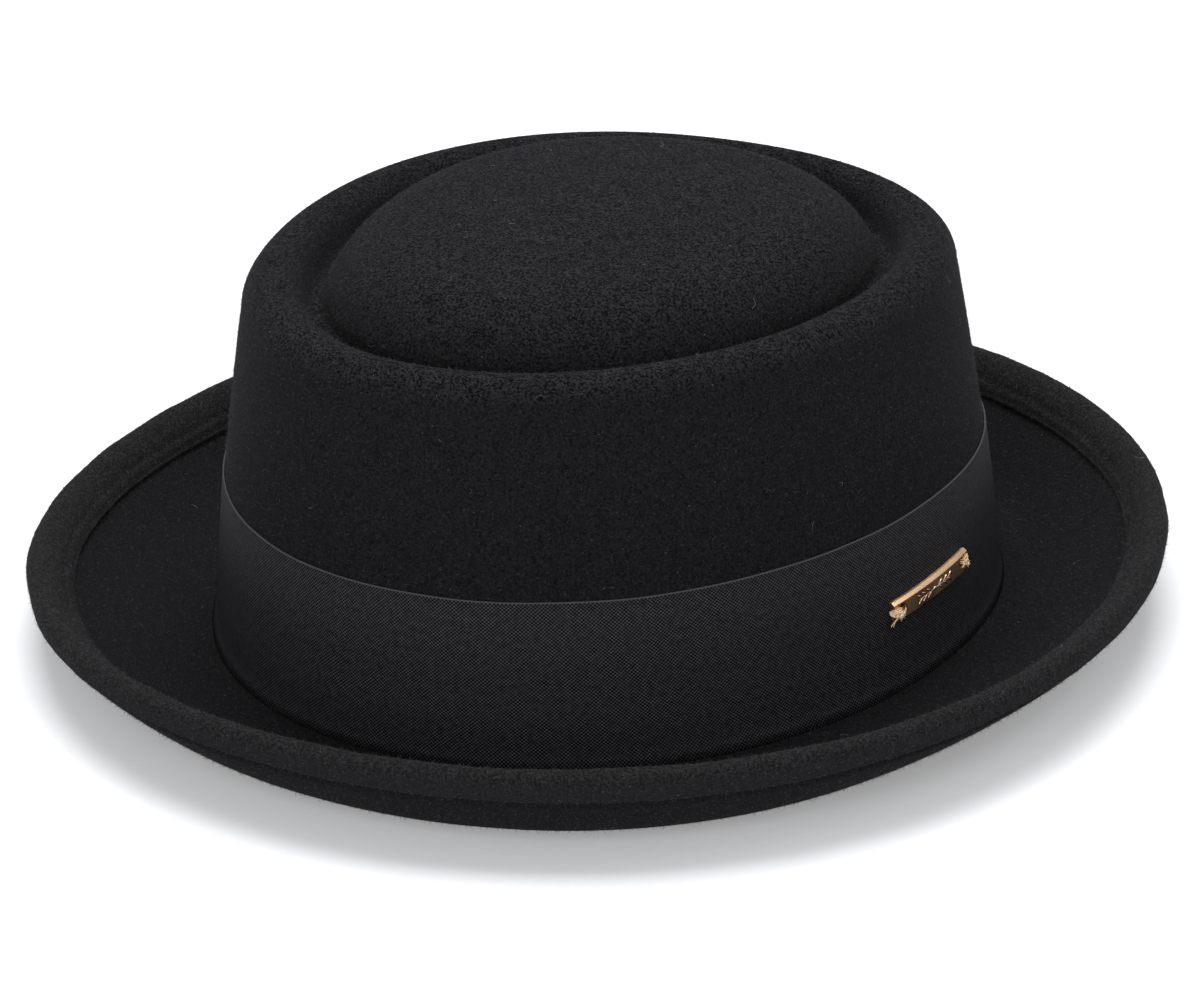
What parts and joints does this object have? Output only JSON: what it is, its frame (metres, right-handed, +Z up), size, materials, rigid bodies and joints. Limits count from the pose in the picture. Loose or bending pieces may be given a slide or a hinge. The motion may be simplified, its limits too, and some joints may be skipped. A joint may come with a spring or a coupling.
{
  "type": "porkpie hat",
  "caption": "Black wool-felt porkpie hat with a raised crown rim, a dome inside it, a turned-up hemmed brim, a ribbon band and a small metal bar.",
  "frame": {"origin": "on the surface that the hat rests on, under the middle of the brim", "axes": "+Z up, -Y towards the front of the hat, +X towards the wearer's left"},
  "size_m": [0.2658, 0.2778, 0.0997],
  "materials": {
    "felt": "matt black wool felt with a short nap",
    "ribbon": "black ribbon in a fine diagonal weave",
    "rose_gold": "polished rose gold"
  },
  "bodies": {
    "root": {"felt_body": "felt", "hat_band": "ribbon", "metal_bar": "rose_gold"}
  },
  "joints": []
}
